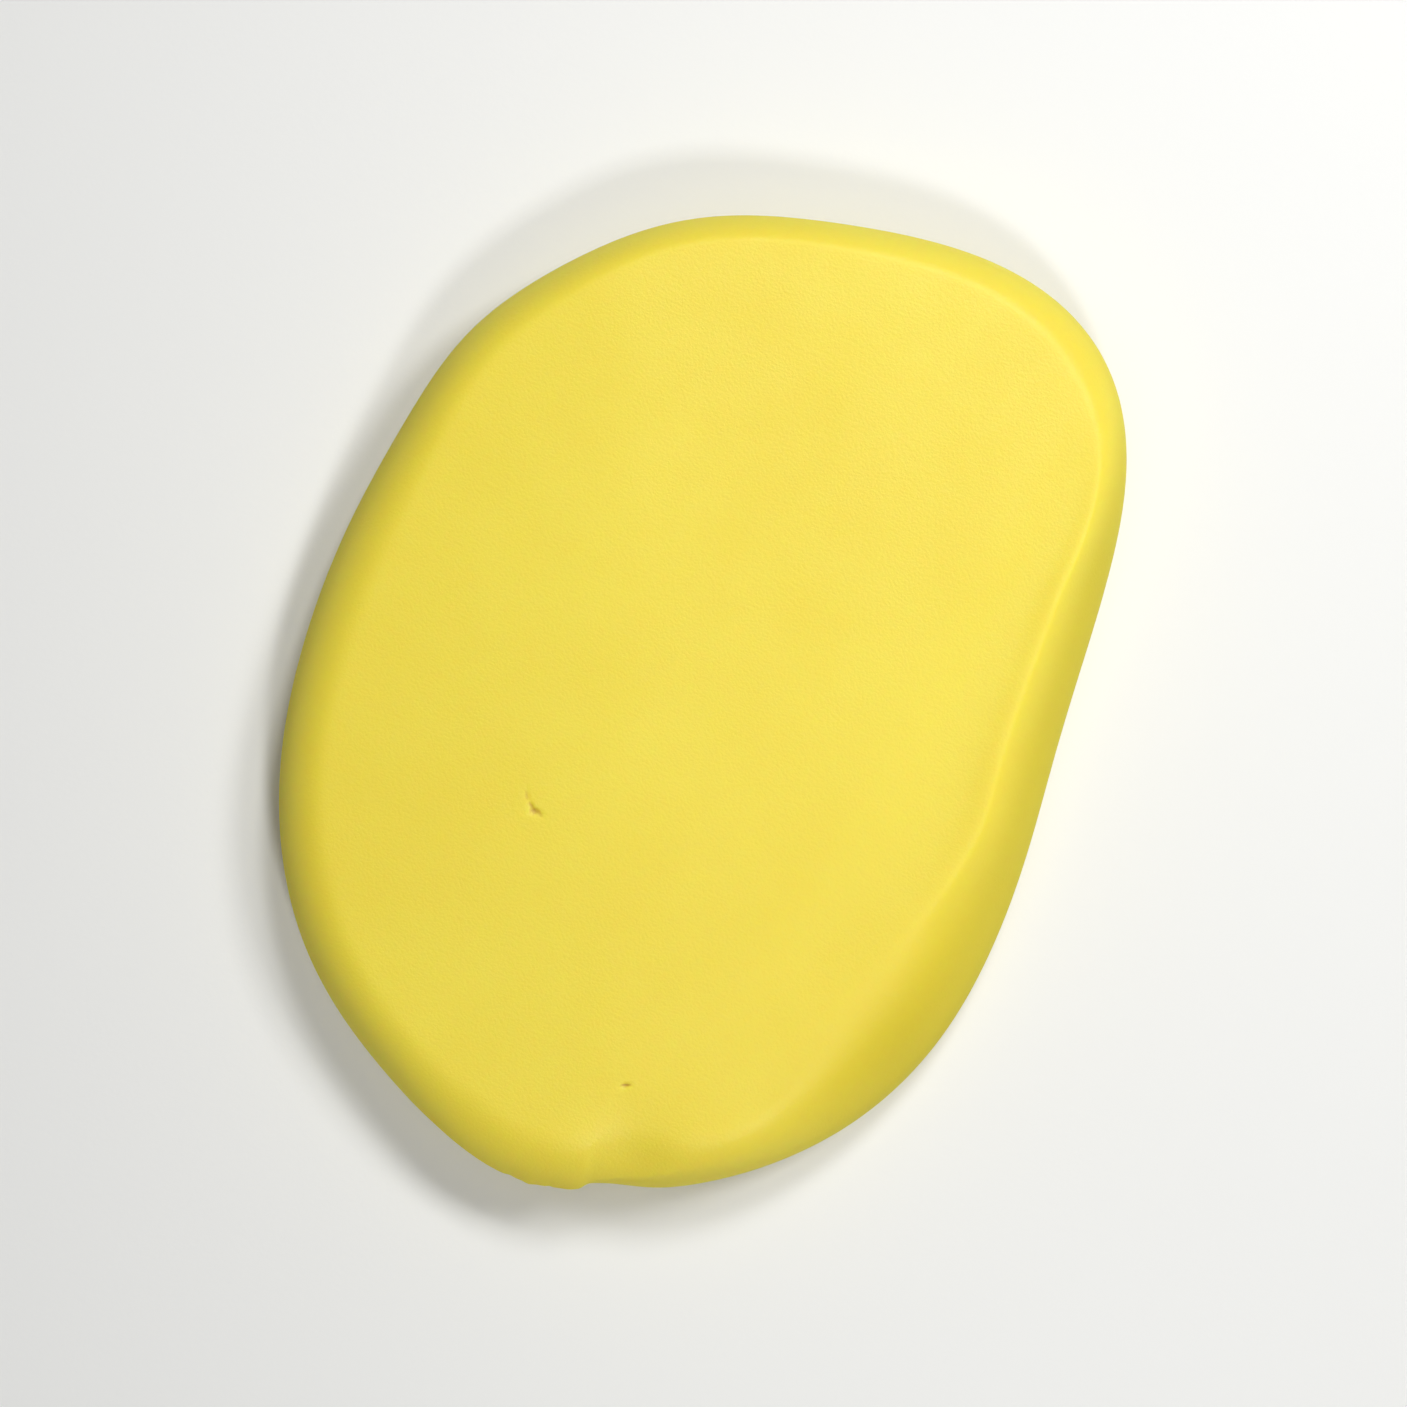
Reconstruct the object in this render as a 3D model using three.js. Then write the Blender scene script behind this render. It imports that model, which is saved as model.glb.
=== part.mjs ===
// A bar of detailing clay as it is used: kneaded in the hand into one soft lump and
// pressed flat on a table. It is one homogeneous solid with nothing inside it.
//
// Millimetres, +Z up. The lump rests on z = 0, with its length along Y and the middle of
// its outline's box on the origin. Directions round the outline are degrees from +X,
// counted towards +Y: the broad end is at 90, the shoulder faces 0, the lip faces 275.
import * as THREE from "three";

// Driving dimensions
const LENGTH = 95.6;
const WIDTH = 71;
const THICKNESS = 13; // resting face to the highest place of the top

// The edge all round
const WIDEST_HEIGHT = 5.5; // the widest line of the edge, above the resting face
const UNDER_ROUND = 4.2; // width of the rounding below the widest line
const EDGE_ROUND = 5.2; // width of the rounding above it, where the edge is plain
const TIGHT_TOWARD = 105; // direction in which that rounding is tightest
const TIGHT_SPREAD = 42;
const TIGHTER = 1.9; // how much narrower it is there
const PLAIN = 2; // exponent of a plain edge: a quarter of an ellipse
const CRISP = 1.25; // exponent that gives the edge a clear break with the top

// Where fingers squeezed clay out (+) or held it in (-): a direction, a distance and how
// many degrees the push spreads over.
const PUSHES = [
  { toward: 61, by: 5.3, spread: 21 },
  { toward: 16, by: -1.4, spread: 23 },
  { toward: 97, by: -2.1, spread: 18 },
  { toward: 145, by: 1.1, spread: 14 },
  { toward: 220, by: 0.6, spread: 23 },
  { toward: 256, by: -1.3, spread: 16 },
  { toward: 284, by: -0.7, spread: 5 },
  { toward: 320, by: 2.7, spread: 25 },
];

// The shoulder: the edge that the palm pressed down, running clockwise from a narrow
// start to a wide end. A low ridge stands where it breaks crisply from the top.
const SHOULDER_START = 66;
const SHOULDER_END = -62;
const SHOULDER_FADE = 28; // degrees over which it comes and goes
const SHOULDER_HEIGHT = 3.2; // the widest line of the edge there
const SHOULDER_NARROW = 1.5; // width where it starts
const SHOULDER_EVEN = 5.5; // width along its middle
const SHOULDER_WIDE = 11; // width where it fades out
const EVEN_FROM = 36; // where it has grown to its middle width
const OPENS_FROM = 4; // where it starts to widen again, and where it is widest
const OPENS_TO = -42;
const CRISP_TO = -6; // where its break with the top starts to soften, and is gone
const SOFT_FROM = -40;
const RIDGE_RISE = 0.35;
const RIDGE_SPREAD = 1.6;
const VALLEY_SINK = 0.3; // the hollow along the inside of the ridge
const VALLEY_SPREAD = 3.5;
const VALLEY_INSIDE = 5; // distance from ridge to valley

// The top: a slight crown, and a soft crest with a lower side to its left
const CROWN = 1.2;
const CREST_AT = [-5.6, -4.8]; // a point that the crest runs through
const CREST_RUN = 113; // direction of the crest
const CREST_TILT = 2.6; // degrees that the left side leans down
const CREST_SOFTNESS = 3; // half width of the bend

// The lip: a thin flap of clay folded over the narrow end, and the dent beside it
const LIP_TOWARD = 275;
const LIP_SPREAD = 7;
const LIP_OUT = 0.3;
const LIP_HEIGHT = 7.8; // the thin edge, above the resting face
const LIP_SHARP = 1.4; // exponent of the thin edge
const DENT_TOWARD = 287;
const DENT_INSET = 2.6;
const DENT_RADIUS = 3.6;
const DENT_DEPTH = 0.8;

// How finely the skin is divided
const AROUND = 108;
const TOP_ROWS = 14;
const EDGE_ROWS = 5;
const UNDER_EDGE_ROWS = 4;
const UNDER_ROWS = 3;

const bump = (distance, spread) => Math.exp(-((distance / spread) ** 2));
const mix = THREE.MathUtils.lerp;
const smoothstep = THREE.MathUtils.smoothstep;
const radians = THREE.MathUtils.degToRad;
const fromDirection = (angle, toward) =>
  THREE.MathUtils.euclideanModulo(angle - toward + 180, 360) - 180;

// Distance from the middle to the edge: an ellipse and the pushes of the fingers.
function edgeRadius(angle) {
  const a = WIDTH / 2;
  const b = LENGTH / 2;
  const t = radians(angle);
  const pushed = PUSHES.reduce(
    (sum, p) => sum + p.by * bump(fromDirection(angle, p.toward), p.spread),
    LIP_OUT * lipAt(angle),
  );
  return (a * b) / Math.hypot(b * Math.cos(t), a * Math.sin(t)) + pushed;
}

function lipAt(angle) {
  return bump(fromDirection(angle, LIP_TOWARD), LIP_SPREAD);
}

// The shoulder in one direction: how strongly it shows there and how crisply it breaks
// from the top, both 0 to 1, and its width.
function shoulderAt(angle) {
  const down = -fromDirection(angle, 0);
  const fromEnds = Math.min(down + SHOULDER_START, -SHOULDER_END - down);
  const grown = smoothstep(down, -SHOULDER_START, -EVEN_FROM);
  const opened = smoothstep(down, -OPENS_FROM, -OPENS_TO);
  return {
    strength: smoothstep(fromEnds, 0, SHOULDER_FADE),
    crisp: 1 - smoothstep(down, -CRISP_TO, -SOFT_FROM),
    width: mix(mix(SHOULDER_NARROW, SHOULDER_EVEN, grown), SHOULDER_WIDE, opened),
  };
}

// Height of the widest line: low under the shoulder, high at the lip.
function widestHeight(angle) {
  const plain = mix(WIDEST_HEIGHT, SHOULDER_HEIGHT, shoulderAt(angle).strength);
  return mix(plain, LIP_HEIGHT, lipAt(angle));
}

// Width of the rounding above the widest line.
function edgeRound(angle) {
  const { strength, width } = shoulderAt(angle);
  const tight = TIGHTER * bump(fromDirection(angle, TIGHT_TOWARD), TIGHT_SPREAD);
  return mix(EDGE_ROUND - tight, width, strength);
}

// The dip beside the lip, which keeps its distance from the edge.
function dentDrop(x, y) {
  const reach = edgeRadius(DENT_TOWARD) - DENT_INSET;
  const away = Math.hypot(
    x - reach * Math.cos(radians(DENT_TOWARD)),
    y - reach * Math.sin(radians(DENT_TOWARD)),
  );
  return DENT_DEPTH * bump(away, DENT_RADIUS);
}

// Drop of the top on the left side of the crest, bending over gently.
function crestDrop(x, y) {
  const run = radians(CREST_RUN);
  const left = -(x - CREST_AT[0]) * Math.sin(run) + (y - CREST_AT[1]) * Math.cos(run);
  const bent = (left + Math.hypot(left, CREST_SOFTNESS)) / 2;
  return bent * Math.tan(radians(CREST_TILT));
}

// Height of the top, before the edge rounds it off.
function topHeight(x, y, angle, edge, inset) {
  const { strength, crisp, width } = shoulderAt(angle);
  const inside = inset - width;
  const ridge = RIDGE_RISE * crisp * bump(inside, RIDGE_SPREAD);
  const valley = VALLEY_SINK * bump(inside - VALLEY_INSIDE, VALLEY_SPREAD);
  const crown = CROWN * (1 - inset / edge) ** 2;
  return THICKNESS - crown - crestDrop(x, y) + strength * (ridge - valley) - dentDrop(x, y);
}

// A point of the skin. Rows count from the widest line, up to the middle of the top or
// down to the middle of the underside; on the rounded edge they are evenly turned.
function skinPoint(angle, row, onTop) {
  const edge = edgeRadius(angle);
  const round = onTop ? edgeRound(angle) : UNDER_ROUND;
  const edgeRows = onTop ? EDGE_ROWS : UNDER_EDGE_ROWS;
  const innerRows = onTop ? TOP_ROWS : UNDER_ROWS;
  const turned = Math.min(row / edgeRows, 1);
  const inward = Math.max(row - edgeRows, 0) / innerRows;
  const across = 1 - Math.cos((turned * Math.PI) / 2); // 0 at the edge, 1 where it ends
  const inset = mix(round * across, edge, inward);

  const x = (edge - inset) * Math.cos(radians(angle));
  const y = (edge - inset) * Math.sin(radians(angle));
  const widest = widestHeight(angle);
  if (!onTop) {
    return [x, y, widest * (1 - Math.sin((turned * Math.PI) / 2))];
  }
  const { strength, crisp } = shoulderAt(angle);
  const shape = mix(mix(PLAIN, CRISP, strength * crisp), LIP_SHARP, lipAt(angle));
  const rise = Math.sqrt(1 - (1 - across) ** shape);
  return [x, y, mix(widest, topHeight(x, y, angle, edge, inset), rise)];
}

// Stretches a geometry so that it fills the driving dimensions exactly.
function squareUp(geometry) {
  geometry.computeBoundingBox();
  const { min, max } = geometry.boundingBox;
  geometry.translate(-(min.x + max.x) / 2, -(min.y + max.y) / 2, -min.z);
  geometry.scale(
    WIDTH / (max.x - min.x),
    LENGTH / (max.y - min.y),
    THICKNESS / (max.z - min.z),
  );
}

// The lump is a ball whose points are moved to the skin: its top pole becomes the middle
// of the top, its bottom pole the middle of the underside.
function pressedLump() {
  const above = TOP_ROWS + EDGE_ROWS;
  const rows = above + UNDER_EDGE_ROWS + UNDER_ROWS;
  const geometry = new THREE.SphereGeometry(1, AROUND, rows);
  const { position, uv } = geometry.attributes;
  for (let i = 0; i < position.count; i++) {
    const row = above - Math.round((1 - uv.getY(i)) * rows);
    position.setXYZ(i, ...skinPoint(360 * uv.getX(i), Math.abs(row), row >= 0));
  }
  squareUp(geometry);
  geometry.computeVertexNormals();
  return geometry;
}

const clay = new THREE.MeshStandardMaterial({
  color: 0xf3de5c,
  roughness: 0.5,
  metalness: 0,
});
const bar = new THREE.Mesh(pressedLump(), clay);
bar.name = "clay_bar";

const part = new THREE.Group();
part.add(bar);
export default part;
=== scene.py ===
# %% [markdown]
# # A lump of detailing clay, pressed flat
#
# A clay bar is one soft mass of polymer clay with fine abrasive in it. Before use it is
# kneaded warm and pressed into a patty that fits under the fingers. The patty is made here
# as one closed skin, so most of the lesson is about how to describe a shape that a hand
# made: smooth nearly everywhere, the same nowhere.
#
# It starts by loading the finished CAD model. Its sizes are fixed, so every length below is
# either read from its box or is a size of the clay's own features, in millimetres.

# %% Load the fixed frame
import math

import bpy
import numpy as np
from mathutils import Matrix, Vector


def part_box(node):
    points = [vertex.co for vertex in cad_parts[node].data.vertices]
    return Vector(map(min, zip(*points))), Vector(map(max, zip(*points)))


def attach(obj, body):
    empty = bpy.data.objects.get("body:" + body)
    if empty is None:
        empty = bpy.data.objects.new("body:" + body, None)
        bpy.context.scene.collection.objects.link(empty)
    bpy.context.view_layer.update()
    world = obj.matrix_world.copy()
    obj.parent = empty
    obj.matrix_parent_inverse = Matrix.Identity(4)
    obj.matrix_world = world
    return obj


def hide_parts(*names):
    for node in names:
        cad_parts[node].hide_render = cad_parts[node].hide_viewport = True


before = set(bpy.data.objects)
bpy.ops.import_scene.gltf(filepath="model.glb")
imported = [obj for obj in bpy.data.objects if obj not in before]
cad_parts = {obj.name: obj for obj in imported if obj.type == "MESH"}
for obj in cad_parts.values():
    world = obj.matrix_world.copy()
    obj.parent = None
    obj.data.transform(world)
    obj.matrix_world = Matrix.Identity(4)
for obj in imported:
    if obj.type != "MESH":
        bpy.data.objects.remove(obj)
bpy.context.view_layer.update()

MM = 0.001
low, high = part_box("clay_bar")
WIDTH, LENGTH, THICKNESS = (np.array(high) - np.array(low)) / MM
print(f"the patty is {WIDTH:.1f} x {LENGTH:.1f} x {THICKNESS:.1f} mm")

# %% [markdown]
# ## The outline
#
# Seen from above, a lump pressed between a palm and a table is nearly an ellipse. What
# makes it look hand made is where fingers squeezed clay out or held it in. The outline
# could be drawn as a spline through many points, but then every point would have to be
# placed by eye. An ellipse with a few soft pushes says the same with far fewer numbers,
# and each push means something: where, how far, and over how wide a stretch.


# %% The outline as an ellipse and a few pushes
def bump(distance, spread):
    """A smooth hill of height 1: e to the power of minus (distance / spread) squared."""
    return np.exp(-((distance / spread) ** 2))


def step(value, start, end):
    """A smooth step: 0 before start, 1 after end, 3 t^2 - 2 t^3 between them."""
    t = np.clip((value - start) / (end - start), 0, 1)
    return t * t * (3 - 2 * t)


def mix(a, b, share):
    """a where share is 0 and b where it is 1."""
    return a + (b - a) * share


def turned(angle, toward):
    """Degrees from a direction, between -180 and 180, positive counterclockwise."""
    return (angle - toward + 180) % 360 - 180


# direction in degrees from +X, push in mm (inwards if negative), spread in degrees
PUSHES = [
    (61, 5.3, 21),
    (16, -1.4, 23),
    (97, -2.1, 18),
    (145, 1.1, 14),
    (220, 0.6, 23),
    (256, -1.3, 16),
    (284, -0.7, 5),
    (320, 2.7, 25),
]


def pushed_ellipse(angle):
    """Radius of the ellipse ab / hypot(b cos, a sin), plus each push times its bump."""
    a, b, t = WIDTH / 2, LENGTH / 2, np.radians(angle)
    radius = a * b / np.hypot(b * np.cos(t), a * np.sin(t))
    for toward, push, spread in PUSHES:
        radius = radius + push * bump(turned(angle, toward), spread)
    return radius


# %% [markdown]
# ## The folded lip
#
# At the narrow end the last fold of kneading was pressed over the edge and left a thin
# flap: a sharp, slightly torn edge that stands higher than the rounded edge beside it, and
# a dent where the flap ends. The flap comes on gently from one side and stops abruptly on
# the other, so it is described by one weight that runs from 0 to 1 round the outline.

# %% Where the lip is, and how ragged
NARROW_END = 270  # its direction, in degrees
LIP_START, LIP_FULL = 262, 273
LIP_END, LIP_GONE = 281.2, 282.4
LIP_OUT = 0.3
# ledges torn in the thin edge: direction, distance out in mm, spread in degrees
TEARS = [(273.4, -0.1, 0.5), (275.7, 0.14, 0.6), (278, -0.09, 0.35), (280.3, 0.1, 0.9)]


def lip_at(angle):
    """The lip's weight: a slow smooth step up times a quick smooth step down."""
    along = turned(angle, NARROW_END)
    coming = step(along, LIP_START - NARROW_END, LIP_FULL - NARROW_END)
    return coming * (1 - step(along, LIP_END - NARROW_END, LIP_GONE - NARROW_END))


def torn(angle):
    """How far the thin edge stands out: each ledge times its bump."""
    return sum(out * bump(turned(angle, toward), wide) for toward, out, wide in TEARS)


def edge_radius(angle):
    """Distance from the middle to the edge: the pushed ellipse and the lip."""
    return pushed_ellipse(angle) + LIP_OUT * lip_at(angle)


ring = np.arange(0, 360, 0.25)
outline = edge_radius(ring)
print(f"the edge is {outline.min():.1f} to {outline.max():.1f} mm from the middle")

# %% [markdown]
# ## The top
#
# The palm left the top slightly crowned. A faint crest runs down it, where the heel of the
# hand pressed one side lower than the other, and along one side the palm's edge pressed a
# shoulder: a wide sloping face that breaks from the top at a low ridge, with a shallow
# valley inside it. Sculpting would do all this well, but a sculpt can't be read back. Here
# each of them is a height in millimetres that depends on where a point is, and the top is
# their sum.

# %% The shoulder, which widens twice along its run
# directions in degrees, counted clockwise from its start at the broad end; widths in mm
SHOULDER_START, SHOULDER_END, SHOULDER_FADE = 66, -62, 28
SHOULDER_NARROW, SHOULDER_EVEN, SHOULDER_WIDE = 1.5, 5.5, 11
EVEN_FROM, OPENS_FROM, OPENS_TO = 36, 4, -42
CRISP_TO, SOFT_FROM = -6, -40


def shoulder_at(angle):
    """Weight, width and crispness of the shoulder, each made of smooth steps."""
    down = -turned(angle, 0)
    inside = np.minimum(down + SHOULDER_START, -SHOULDER_END - down)
    weight = step(inside, 0, SHOULDER_FADE)
    width = mix(SHOULDER_NARROW, SHOULDER_EVEN, step(down, -SHOULDER_START, -EVEN_FROM))
    width = mix(width, SHOULDER_WIDE, step(down, -OPENS_FROM, -OPENS_TO))
    return weight, width, 1 - step(down, -CRISP_TO, -SOFT_FROM)


shoulder = shoulder_at(ring)[0] > 0
print(f"the shoulder takes up {shoulder.mean():.0%} of the way round")


# %% The relief of the top
# heights, spreads and places in mm, directions and the tilt in degrees
CROWN = 1.2
RIDGE_RISE, RIDGE_SPREAD = 0.35, 1.6
VALLEY_SINK, VALLEY_SPREAD, VALLEY_INSIDE = 0.3, 3.5, 5
CREST_AT, CREST_RUN = (-5.6, -4.8), 113
CREST_TILT, CREST_SOFTNESS = 2.6, 3
DENT_TOWARD, DENT_INSET = 287, 2.6
DENT_RADIUS, DENT_DEPTH = 3.6, 0.8


def crest_drop(x, y):
    """Drop of the low side: the distance left of the crest, bent softly, times its tilt."""
    run = math.radians(CREST_RUN)
    left = (CREST_AT[0] - x) * math.sin(run) + (y - CREST_AT[1]) * math.cos(run)
    bent = (left + np.hypot(left, CREST_SOFTNESS)) / 2
    return bent * math.tan(math.radians(CREST_TILT))


def dent(x, y):
    """The dip beside the lip: a bump turned downwards."""
    way = math.radians(DENT_TOWARD)
    reach = float(edge_radius(np.array(DENT_TOWARD))) - DENT_INSET
    away = np.hypot(x - reach * math.cos(way), y - reach * math.sin(way))
    return DENT_DEPTH * bump(away, DENT_RADIUS)


def top_height(x, y, angle, edge, inset):
    """Thickness less the crown, crest and dent, with the shoulder's ridge and valley."""
    weight, width, crisp = shoulder_at(angle)
    inside = inset - width
    ridge = RIDGE_RISE * crisp * bump(inside, RIDGE_SPREAD)
    valley = VALLEY_SINK * bump(inside - VALLEY_INSIDE, VALLEY_SPREAD)
    crown = CROWN * (1 - inset / edge) ** 2
    height = THICKNESS - crown - crest_drop(x, y) - dent(x, y)
    return height + weight * (ridge - valley)


print(f"the low side drops {crest_drop(-WIDTH / 2, 0):.1f} mm from the crest to its edge")


# %% [markdown]
# ## Nicks
#
# Kneading drags crumbs across the skin and tears it here and there. Three nicks show: two
# ragged ones side by side and a short slit. A decal would look painted on from any other
# angle, so they are cut into the skin, each as a few small overlapping hollows. Their
# depth is also kept as a number on every point, and the clay's colour reads it later to
# paint shade into them, darker and browner where they are deeper.

# %% The nicks as small hollows
# place in mm, half length, half width, direction in degrees, depth
NICKS = [
    (-9.1, -15.3, 0.45, 0.16, -25, 0.22),
    (-8.65, -15.6, 0.42, 0.26, 10, 0.3),
    (-8.2, -15.6, 0.42, 0.2, -35, 0.22),
    (-10, -14.5, 0.3, 0.14, -60, 0.14),
    (-9.8, -14.8, 0.34, 0.12, 15, 0.12),
    (9.15, -35.1, 0.42, 0.15, 24, 0.34),
]
FLAKES = [(-8.4, -15.2, 0.5, 0.16, -5, 0.06), (-9.65, -15.1, 0.3, 0.14, -50, 0.05)]


def hollows(x, y, cuts):
    """Each hollow is its depth times e to the minus rho^3, rho being elliptical."""
    total = 0 * x
    for cx, cy, half_length, half_width, toward, depth in cuts:
        way = math.radians(toward)
        along = (x - cx) * math.cos(way) + (y - cy) * math.sin(way)
        across = (y - cy) * math.cos(way) - (x - cx) * math.sin(way)
        rho = np.hypot(along / half_length, across / half_width)
        total = np.maximum(total, depth * np.exp(-(rho**3)))
    return total


print(f"{len(NICKS)} hollows make the nicks, and {len(FLAKES)} crumbs lie beside them")


# %% [markdown]
# ## A grid without a pole
#
# The skin needs two parameters. Rings and spokes are the obvious pair, but hundreds of
# spokes meet in a point in the middle and squeeze the facets there. A square grid laid
# over the disc has no such point: its square rings become round ones, and each ring keeps
# as many points as it needs. Two such grids, a top and an underside, share their last ring
# at the widest line of the edge, so the skin is closed without any welding.

# %% Square rings laid over a disc
RINGS = 110  # from the middle to the widest line


def square_rings():
    """Ring number (0 in the middle) and angle in degrees of every grid point.

    The ring is the larger of |u| and |v|; the angle is a quarter turn for each side of
    the square, shared out evenly along the side.
    """
    line = np.arange(-RINGS, RINGS + 1)
    u, v = np.meshgrid(line, line, indexing="ij")
    ring = np.maximum(abs(u), abs(v))
    flat = abs(u) >= abs(v)
    side = 45 * np.where(flat, v / np.where(flat & (u != 0), u, 1), 0)
    upright = 45 * np.where(flat, 0, u / np.where(~flat, v, 1))
    angle = np.where(flat, side + np.where(u < 0, 180, 0), 90 - upright)
    angle = np.where(~flat & (v < 0), angle + 180, angle)
    return ring, angle % 360


ring_number, ring_angle = square_rings()
print(f"{ring_number.size} points on each side of the patty")

# %% [markdown]
# The lip's tears and the nicks are much finer than the rest, so the grid is drawn together
# round them: every point moves towards the nearest centre by a share that fades with
# distance. That costs no extra facets.

# %% Draw the grid together where the clay is torn
# the most that a point moves, as a share of its distance, and how far that reaches
LIP_MIDDLE, LIP_DRAW, LIP_REACH = 279, 0.55, 14
NICK_DRAW, NICK_REACH = 0.72, 3.2
NICK_CENTRES = [(-9, -15.3), (9.2, -35.1)]


def drawn_angle(angle):
    """The angle moved towards the lip by a share that fades like a bump."""
    away = turned(angle, LIP_MIDDLE)
    return angle - LIP_DRAW * away * bump(away, LIP_REACH)


def drawn_in(x, y):
    """The point moved towards each nick by a share that fades like a bump."""
    for cx, cy in NICK_CENTRES:
        share = NICK_DRAW * bump(np.hypot(x - cx, y - cy), NICK_REACH)
        x, y = x - (x - cx) * share, y - (y - cy) * share
    return x, y


print(f"facets shrink to {1 - LIP_DRAW:.0%} at the lip, {1 - NICK_DRAW:.0%} at the nicks")


# %% [markdown]
# ## The rounded edge
#
# Clay that is squeezed out sideways rounds itself: the edge is half an oval on its side.
# Above the widest line it blends into the top, below it tucks under to the flat face that
# lay on the table. Rows are spaced evenly by how far they have turned, because evenly
# spaced rows would leave the steep part near the widest line too coarse.

# %% Edge sizes
# heights of the widest line and widths of the roundings above and below it, in mm
WIDEST_HEIGHT, SHOULDER_HEIGHT = 5.5, 3.2
EDGE_ROUND, UNDER_ROUND, LIP_UNDER = 5.2, 4.2, 5.5
TIGHT_TOWARD, TIGHT_SPREAD, TIGHTER = 105, 42, 1.9
PLAIN, CRISP = 2, 1.25  # exponents: a quarter of an ellipse, and a clear break
LIP_HEIGHT, LIP_THIN = 8, 0.3


def rounded(share, shape, power=2):
    """A rounding's rise: 1 - (1 - share)^shape, to the power of 1 / power."""
    return (1 - (1 - np.clip(share, 0, 1)) ** shape) ** (1 / power)


def edge_width(angle):
    """Width of the rounding above the widest line, tighter at the wide end."""
    weight, width, _ = shoulder_at(angle)
    plain = EDGE_ROUND - TIGHTER * bump(turned(angle, TIGHT_TOWARD), TIGHT_SPREAD)
    return mix(plain, width, weight)


def widest_height(angle):
    """Height of the widest line: low under the shoulder, high at the thin lip."""
    low_side = mix(WIDEST_HEIGHT, SHOULDER_HEIGHT, shoulder_at(angle)[0])
    return mix(low_side, LIP_HEIGHT - LIP_THIN, lip_at(angle))


widest = widest_height(ring)
print(f"the widest line lies {widest.min():.1f} to {widest.max():.1f} mm up")


# %% [markdown]
# The flap itself slopes gently to a thin edge. Past the lip's end that edge leaves the
# outline and runs inwards over the top, and below it the body's own edge shows as a steep
# band. So the flap has an edge of its own, at an inset that is nothing along the lip and
# grows past its end.

# %% The flap's slope and its edge
THIN_INSET = 0.2
FLAP_WIDTH, FLAP_SHAPE, FLAP_POWER = 5.8, 2, 1.4
FLAP_START, FLAP_FULL, FLAP_FADE, FLAP_GONE = 252, 268, 290, 303
FLAP_INSET, FLAP_INSET_AT, FLAP_EASE = 2.3, 293, 0.8


def flap_at(angle):
    """The flap's weight: a slow smooth step up times a slow smooth step down."""
    along = turned(angle, NARROW_END)
    coming = step(along, FLAP_START - NARROW_END, FLAP_FULL - NARROW_END)
    return coming * (1 - step(along, FLAP_FADE - NARROW_END, FLAP_GONE - NARROW_END))


def flap_inset(angle):
    """Inset of the flap's edge: thin along the lip, growing past the lip's end."""
    past = turned(angle, LIP_END) / (FLAP_INSET_AT - LIP_END)
    return mix(THIN_INSET, FLAP_INSET, np.clip(past, 0, 1) ** FLAP_EASE)


def rim_height(angle, inset, height):
    """Height of the top near the edge: a plain rounding, or the flap over its steep band."""
    base = widest_height(angle)
    weight, _, crisp = shoulder_at(angle)
    shape = mix(PLAIN, CRISP, weight * crisp)
    plain = mix(base, height, rounded(inset / edge_width(angle), shape))
    band = flap_inset(angle)
    slope = rounded(np.maximum(inset, band) / FLAP_WIDTH, FLAP_SHAPE, FLAP_POWER)
    flap = mix(LIP_HEIGHT, height, slope)
    flap = mix(base, flap, rounded(inset / band, CRISP))
    return mix(plain, flap, flap_at(angle))


flap_insets = flap_inset(ring[flap_at(ring) > 0])
print(f"the flap's edge is {flap_insets.min():.1f} to {flap_insets.max():.1f} mm in")


# %% Place every grid point as seen from above
BAND_RINGS, EDGE_RINGS = 12, 34  # rings spent on the band, and on it and the rounding
BAND = 1  # its width where there is no flap
TEAR_REACH = 0.9
angles = drawn_angle(ring_angle)


def seen_from_above(inset):
    """The places at each inset from the edge; the torn ledges fade a little way in."""
    edge = edge_radius(angles)
    reach = edge - inset + torn(angles) * bump(inset, TEAR_REACH)
    t = np.radians(angles)
    return reach * np.cos(t), reach * np.sin(t), edge


def turning(row, rings):
    """How far along a rounding a row lies: 1 - cos of a quarter turn shared out evenly."""
    return 1 - np.cos(np.clip(row / rings, 0, 1) * np.pi / 2)


def top_insets():
    """Insets of the top's rings: over the band, over the rounding, then to the middle."""
    row = RINGS - ring_number
    flap = flap_at(angles)
    band = mix(BAND, flap_inset(angles), flap)
    width = mix(edge_width(angles), FLAP_WIDTH, flap)
    over = turning(row - BAND_RINGS, EDGE_RINGS - BAND_RINGS)
    inset = mix(band * turning(row, BAND_RINGS), width, over)
    inward = np.maximum(row - EDGE_RINGS, 0) / (RINGS - EDGE_RINGS)
    return mix(inset, edge_radius(angles), inward)


apart = -np.diff(top_insets()[RINGS:, RINGS])
print(f"towards +X the rings are {apart.min():.3f} to {apart.max():.2f} mm apart")


# %% The top's skin
PAINTED_SHADE_SHARE = 0.3  # of the shoulder's width, where the painted shade is deepest


def painted_shade_on_face(angle, inset):
    """Painted shade: 1 low on the shoulder's face, fading to 0 up to its ridge and past its
    ends.
    """
    weight, width, _ = shoulder_at(angle)
    return weight * (1 - step(inset, PAINTED_SHADE_SHARE * width, width))


def top_skin():
    """The top's points, and at each the depth of the nicks and its share of painted shade.
    """
    inset = top_insets()
    x, y, edge = seen_from_above(inset)
    x, y = drawn_in(x, y)
    nick = hollows(x, y, NICKS)
    height = top_height(x, y, angles, edge, inset) - nick + hollows(x, y, FLAKES)
    points = np.stack([x, y, rim_height(angles, inset, height)], -1)
    return points, {"nick": nick, "painted_shade": painted_shade_on_face(angles, inset)}


top, marks = top_skin()
print(f"the deepest nick goes down {marks['nick'].max():.2f} mm")


# %% [markdown]
# ## The underside
#
# The face that lay on the table is flat and smooth. What shows there on a real patty is
# where the last fold of the kneading closed: a faint seam that runs in from the lip. It is
# a shallow groove, a few tenths of a millimetre deep, so the patty still rests flat.

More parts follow.
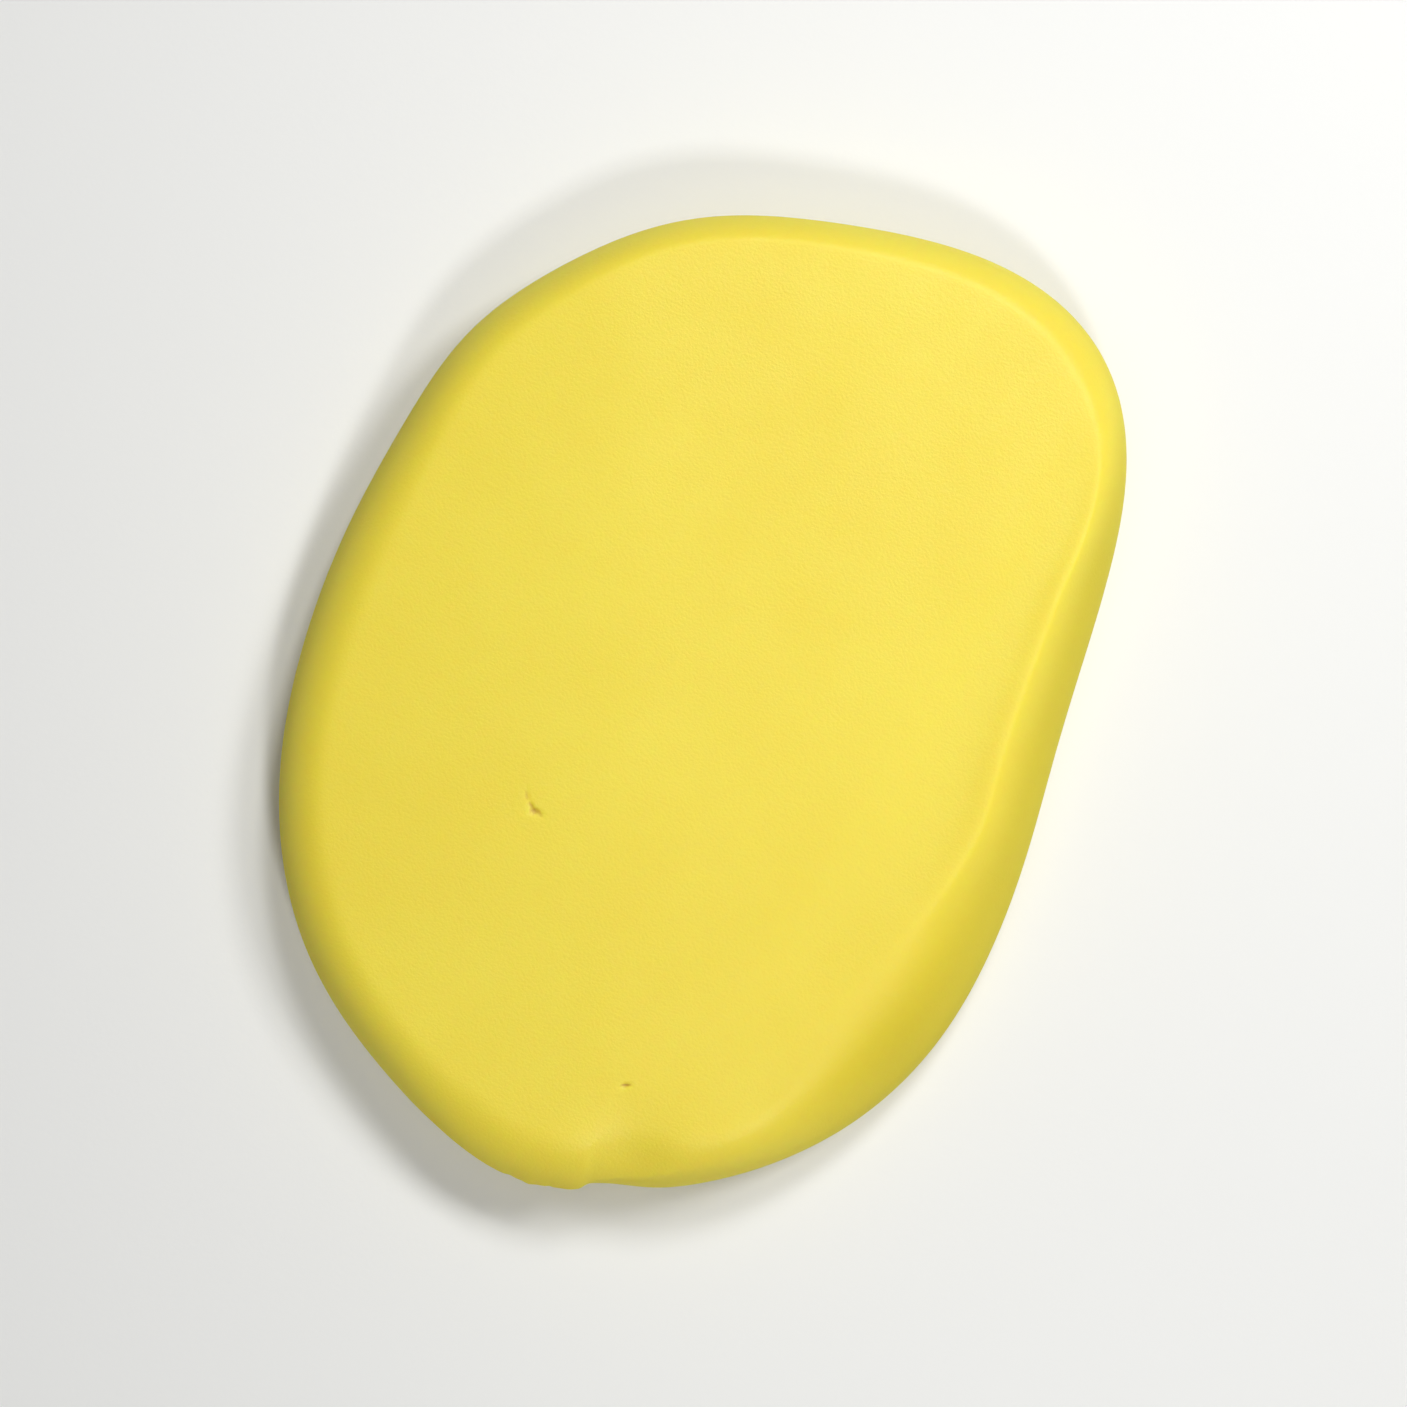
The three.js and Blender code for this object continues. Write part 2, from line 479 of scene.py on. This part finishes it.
# %% The underside and its fold seam
SEAM_FROM, SEAM_TO = (5.5, -43), (-6, -9)
SEAM_BOW, SEAM_WIDTH, SEAM_DEPTH = 3.5, 0.7, 0.35
SEAM_COMES, SEAM_GOES = (-0.25, 0.05), (0.5, 1)  # as shares of its length
UNDER_RINGS = 26


def seam(x, y):
    """Depth of a bowed groove: a bump across it, faded out towards its inner end."""
    (ax, ay), (bx, by) = SEAM_FROM, SEAM_TO
    length = math.hypot(bx - ax, by - ay)
    ux, uy = (bx - ax) / length, (by - ay) / length
    along = ((x - ax) * ux + (y - ay) * uy) / length
    across = (y - ay) * ux - (x - ax) * uy - SEAM_BOW * np.sin(np.pi * along)
    ends = step(along, *SEAM_COMES) * (1 - step(along, *SEAM_GOES))
    return SEAM_DEPTH * ends * bump(across, SEAM_WIDTH)


def under_skin():
    """The underside: the widest height times 1 - sin of the angle turned, then flat."""
    row = RINGS - ring_number
    across = turning(row, UNDER_RINGS)
    inward = np.maximum(row - UNDER_RINGS, 0) / (RINGS - UNDER_RINGS)
    width = mix(UNDER_ROUND, LIP_UNDER, lip_at(angles))
    x, y, _ = seen_from_above(mix(width * across, edge_radius(angles), inward))
    z = widest_height(angles) * (1 - rounded(across, PLAIN)) + seam(x, y)
    return np.stack([x, y, z], -1)


under = under_skin()
print(f"the underside is flat over {(under[..., 2] < 0.01).mean():.0%} of its points")


# %% [markdown]
# ## One closed skin
#
# The two sheets become one mesh. Points on the last ring are taken from the top for both,
# and the underside's facets are wound the other way, so that every face points outwards.
# The whole is squared up to the CAD's box, as the CAD model itself is. Two numbers stay on
# every point for the material to read: the depth of the nicks, and the share of painted
# shade on the shoulder's face.


# %% Build the patty
def quads(index):
    """Corner numbers of every cell of a grid, counterclockwise as u turns to v."""
    corners = index[:-1, :-1], index[1:, :-1], index[1:, 1:], index[:-1, 1:]
    return np.stack([c.ravel() for c in corners], 1)


def squared_up(points):
    """Each axis stretched and moved so that the points fill the CAD's box."""
    least, most = points.min(0), points.max(0)
    share = (points - least) / (most - least)
    return np.array(low) + share * (np.array(high) - np.array(low))


def build_patty():
    """The patty's object, with the marks kept as numbers on its points."""
    top_index = np.arange(ring_number.size).reshape(ring_number.shape)
    inner = ring_number < RINGS
    under_index = top_index.copy()
    under_index[inner] = ring_number.size + np.arange(inner.sum())
    points = squared_up(np.concatenate([top.reshape(-1, 3), under[inner]]))
    faces = np.concatenate([quads(top_index), quads(under_index)[:, ::-1]])
    mesh = bpy.data.meshes.new("clay_patty")
    mesh.from_pydata(points.tolist(), [], faces.tolist())
    mesh.shade_smooth()
    for name, mark in marks.items():
        values = np.zeros(len(points))
        values[: mark.size] = mark.ravel()
        mesh.attributes.new(name, "FLOAT", "POINT").data.foreach_set("value", values)
    piece = bpy.data.objects.new("clay_patty", mesh)
    bpy.context.collection.objects.link(piece)
    return piece


patty = build_patty()
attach(patty, "root")
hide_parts("clay_bar")
print(f"{len(patty.data.polygons)} facets, all four-sided")

# %% [markdown]
# ## The clay
#
# Detailing clay is dense, opaque yellow, with a skin somewhere between matte and satin: the
# oil in it gives a broad soft gloss, and the abrasive gives a fine grain that glints where
# the gloss falls. Under the skin a little light spreads sideways, which softens the rounded
# edge. The colour is a touch uneven from kneading. The shoulder's face is darker than the
# top from the way it leans to the light; plain lamps don't bring that out, so it is painted
# shade in the colour. The nicks, too, get painted shade, darker and browner as they deepen.
# So the material has five parts: a base colour with faint clouds, the painted shade on the
# shoulder, a grain in the relief, a roughness that wanders a little, and the painted shade
# in the nicks.


# %% Small helpers for the node trees
def new_material(name):
    """A material with nodes; returns it, its node tree and its Principled shader."""
    material = bpy.data.materials.new(name)
    material.use_nodes = True
    tree = material.node_tree
    return material, tree, tree.nodes["Principled BSDF"]


def add(tree, kind, **settings):
    """A node with its properties set and the named input values filled in."""
    node = tree.nodes.new(kind)
    for key, value in settings.items():
        if key in node.inputs:
            node.inputs[key].default_value = value
        else:
            setattr(node, key, value)
    return node


def noise(tree, where, size, detail, roughness=0.5):
    """Cloudy noise whose lumps are about size metres across."""
    node = add(tree, "ShaderNodeTexNoise", Detail=detail, Roughness=roughness)
    node.inputs["Scale"].default_value = 1 / size
    tree.links.new(where, node.inputs["Vector"])
    return node.outputs["Fac"]


def spread(tree, value, low_out, high_out, low_in=0.3, high_in=0.7):
    """A value moved to another range, cut off at its ends; a limit may be a socket.

    Noise lies mostly between 0.3 and 0.7, so that is the range it is moved from.
    """
    node = add(tree, "ShaderNodeMapRange")
    names = ("From Min", "From Max", "To Min", "To Max")
    for name, amount in zip(names, (low_in, high_in, low_out, high_out)):
        if isinstance(amount, (int, float)):
            node.inputs[name].default_value = amount
        else:
            tree.links.new(amount, node.inputs[name])
    tree.links.new(value, node.inputs["Value"])
    return node.outputs["Result"]


def mix_colour(tree, share, a, b):
    """Colour a where share is 0, colour b where it is 1; each a colour or a socket."""
    node = add(tree, "ShaderNodeMix", data_type="RGBA")
    share_in, a_in, b_in = node.inputs[0], node.inputs[6], node.inputs[7]
    tree.links.new(share, share_in)
    for source, socket in ((a, a_in), (b, b_in)):
        if isinstance(source, tuple):
            socket.default_value = (*source, 1)
        else:
            tree.links.new(source, socket)
    return node.outputs[2]


# %% The clay's colour, with painted shade
CLAY = (0.9, 0.76, 0.078)
CLAY_DEEP = (0.885, 0.725, 0.066)
# painted shade: the shoulder's face is drawn darker than the plain lamps make it
CLAY_PAINTED_SHADE = (0.74, 0.6, 0.034)
# painted shade in the nicks: darker and browner with depth, for shade and bounced yellow
# light in the hollows
NICK_SHADE_COLOUR, NICK_SHADE_MOST = (0.6, 0.34, 0.03), 0.8
NICK_SHADE_FROM, NICK_SHADE_TO = 0.03, 0.28  # depth of a nick in mm, from no painted shade to the most
CLOUD = 18 * MM


def mark_on_points(tree, name):
    """The number of that name that every point of the patty carries."""
    return add(tree, "ShaderNodeAttribute", attribute_name=name).outputs["Fac"]


def clay_colour(tree, where):
    """Clouds of two yellows, then painted shade on the shoulder's face, then painted shade
    in the nicks.
    """
    clouds = spread(tree, noise(tree, where, CLOUD, detail=4), 0, 1)
    colour = mix_colour(tree, clouds, CLAY, CLAY_DEEP)
    # the shoulder's face takes its painted shade
    colour = mix_colour(tree, mark_on_points(tree, "painted_shade"), colour, CLAY_PAINTED_SHADE)
    # the nicks take painted shade, darker and browner where deeper
    depth = mark_on_points(tree, "nick")
    nick_shade_share = spread(tree, depth, 0, NICK_SHADE_MOST, low_in=NICK_SHADE_FROM, high_in=NICK_SHADE_TO)
    return mix_colour(tree, nick_shade_share, colour, NICK_SHADE_COLOUR)


print(f"pressed clay reflects {CLAY_PAINTED_SHADE[0] / CLAY[0]:.0%} of the red that the top does")


# %% [markdown]
# A satin skin seen nearly edge-on would mirror the white table as a hard bright line, which
# soft clay doesn't do: there its grain stands in the way. So the roughness grows as the
# skin turns away. Red light travels furthest under the skin, blue the least.

# %% The clay's skin
PATCH = 9 * MM
ROUGH_LOW, ROUGH_HIGH, ROUGH_EDGE_ON = 0.44, 0.54, 0.95
TURNS_FROM, TURNS_TO = 0.15, 0.75  # how far turned away, from none to edge-on
GRAIN, GRAIN_DEPTH = 0.26 * MM, 0.04 * MM
GLOW_SHARES, GLOW_REACH = (1.0, 0.75, 0.25), 1.5 * MM
BENDING = 1.48  # index of refraction, that of oil and wax


def clay_roughness(tree, where):
    """Patches of a slightly different gloss, rougher where the skin turns away."""
    handled = spread(tree, noise(tree, where, PATCH, detail=3), ROUGH_LOW, ROUGH_HIGH)
    away = add(tree, "ShaderNodeLayerWeight", Blend=0.5).outputs["Facing"]
    return spread(tree, away, handled, ROUGH_EDGE_ON, low_in=TURNS_FROM, high_in=TURNS_TO)


def clay_material():
    """Detailing clay: its colour, its gloss, its grain and the light under its skin."""
    material, tree, shader = new_material("detailing_clay")
    where = add(tree, "ShaderNodeTexCoord").outputs["Object"]
    tree.links.new(clay_colour(tree, where), shader.inputs["Base Color"])
    tree.links.new(clay_roughness(tree, where), shader.inputs["Roughness"])
    grain = add(tree, "ShaderNodeBump", Strength=1.0, Distance=GRAIN_DEPTH)
    fine = noise(tree, where, GRAIN, detail=2, roughness=0.6)
    tree.links.new(fine, grain.inputs["Height"])
    tree.links.new(grain.outputs["Normal"], shader.inputs["Normal"])
    shader.inputs["Subsurface Weight"].default_value = 1.0
    shader.inputs["Subsurface Radius"].default_value = GLOW_SHARES
    shader.inputs["Subsurface Scale"].default_value = GLOW_REACH
    shader.inputs["IOR"].default_value = BENDING
    return material


patty.data.materials.append(clay_material())
print(f"{len(patty.data.materials[0].node_tree.nodes)} nodes make the clay")

# %% [markdown]
# ## The table and the light
#
# The patty lies on a plain white table. Two strong soft lamps stand beside each other and
# throw a short shadow between them; a small one to the side throws a second, fainter one;
# a wide one behind the patty fills both, and one overhead gives the top its soft gloss.

# %% A pale floor
FLOOR_SIDE = 3.0
FLOOR_COLOUR, FLOOR_ROUGHNESS = (0.86, 0.86, 0.84), 0.55
FLOOR_GRAIN, FLOOR_GRAIN_DEPTH = 0.6 * MM, 0.02 * MM


def table():
    """One square facet of the floor, level with the patty's underside."""
    half = FLOOR_SIDE / 2
    mesh = bpy.data.meshes.new("table_top")
    corners = [(-half, -half, 0), (half, -half, 0), (half, half, 0), (-half, half, 0)]
    mesh.from_pydata(corners, [], [(0, 1, 2, 3)])
    floor = bpy.data.objects.new("table_top", mesh)
    bpy.context.collection.objects.link(floor)
    material, tree, shader = new_material("table_white")
    where = add(tree, "ShaderNodeTexCoord").outputs["Object"]
    shader.inputs["Base Color"].default_value = (*FLOOR_COLOUR, 1)
    shader.inputs["Roughness"].default_value = FLOOR_ROUGHNESS
    grain = add(tree, "ShaderNodeBump", Strength=0.5, Distance=FLOOR_GRAIN_DEPTH)
    fine = noise(tree, where, FLOOR_GRAIN, detail=2)
    tree.links.new(fine, grain.inputs["Height"])
    tree.links.new(grain.outputs["Normal"], shader.inputs["Normal"])
    mesh.materials.append(material)


table()
print(f"a floor {FLOOR_SIDE:g} m square")


# %% Soft lamps
def lamp(name, azimuth, elevation, distance, side, power):
    """A square soft white lamp aimed at the patty; azimuth counts from +X, in degrees."""
    a, e = math.radians(azimuth), math.radians(elevation)
    data = bpy.data.lights.new(name, "AREA")
    data.size = side
    data.energy = power
    light = bpy.data.objects.new(name, data)
    light.location = (
        distance * math.cos(e) * math.cos(a),
        distance * math.cos(e) * math.sin(a),
        distance * math.sin(e),
    )
    light.rotation_euler = (math.pi / 2 - e, 0, a + math.pi / 2)
    bpy.context.collection.objects.link(light)


# azimuth and elevation in degrees, distance and side in m, power in W
lamp("key", 54, 54, 0.46, 0.1, 0.68)
lamp("second key", 90, 57, 0.46, 0.1, 0.81)
lamp("side", -46, 55, 0.5, 0.07, 0.7)
lamp("back", 228, 75, 0.5, 0.25, 0.18)
lamp("overhead", 134, 86, 0.5, 0.15, 0.18)
print(f"{len(bpy.data.lights)} soft lamps")

# %% The room's own faint light
ROOM_COLOUR, ROOM_STRENGTH = (0.95, 0.98, 1), 0.04
world = bpy.data.worlds.new("room")
world.use_nodes = True
background = world.node_tree.nodes["Background"]
background.inputs["Color"].default_value = (*ROOM_COLOUR, 1)
background.inputs["Strength"].default_value = ROOM_STRENGTH
bpy.context.scene.world = world
print(f"the room adds light of strength {ROOM_STRENGTH}")

# %% [markdown]
# ## The camera
#
# The patty is looked at from straight above, turned so that its length leans across the
# picture.

# %% The camera
CAMERA_OVER = (1.46, -0.59)
CAMERA_HEIGHT = 312
FRAME_SIDE = 131.1  # what it takes in, level with the widest line
VIEW_ROLL = 24  # degrees that it is turned about the vertical
NEAREST = 10 * MM  # what is closer than this it leaves out


def camera():
    """Looks straight down; its angle is twice the arctangent of half the frame's side
    over the distance to the widest line.
    """
    data = bpy.data.cameras.new("camera")
    data.sensor_fit = "AUTO"
    data.angle = 2 * math.atan(FRAME_SIDE / 2 / (CAMERA_HEIGHT - WIDEST_HEIGHT))
    data.clip_start = NEAREST
    item = bpy.data.objects.new("camera", data)
    item.location = (CAMERA_OVER[0] * MM, CAMERA_OVER[1] * MM, CAMERA_HEIGHT * MM)
    item.rotation_euler = (0, 0, math.radians(VIEW_ROLL))
    bpy.context.collection.objects.link(item)
    bpy.context.scene.camera = item


camera()
bpy.context.scene.view_settings.view_transform = "Standard"
print(f"the camera hangs {CAMERA_HEIGHT} mm over the table")
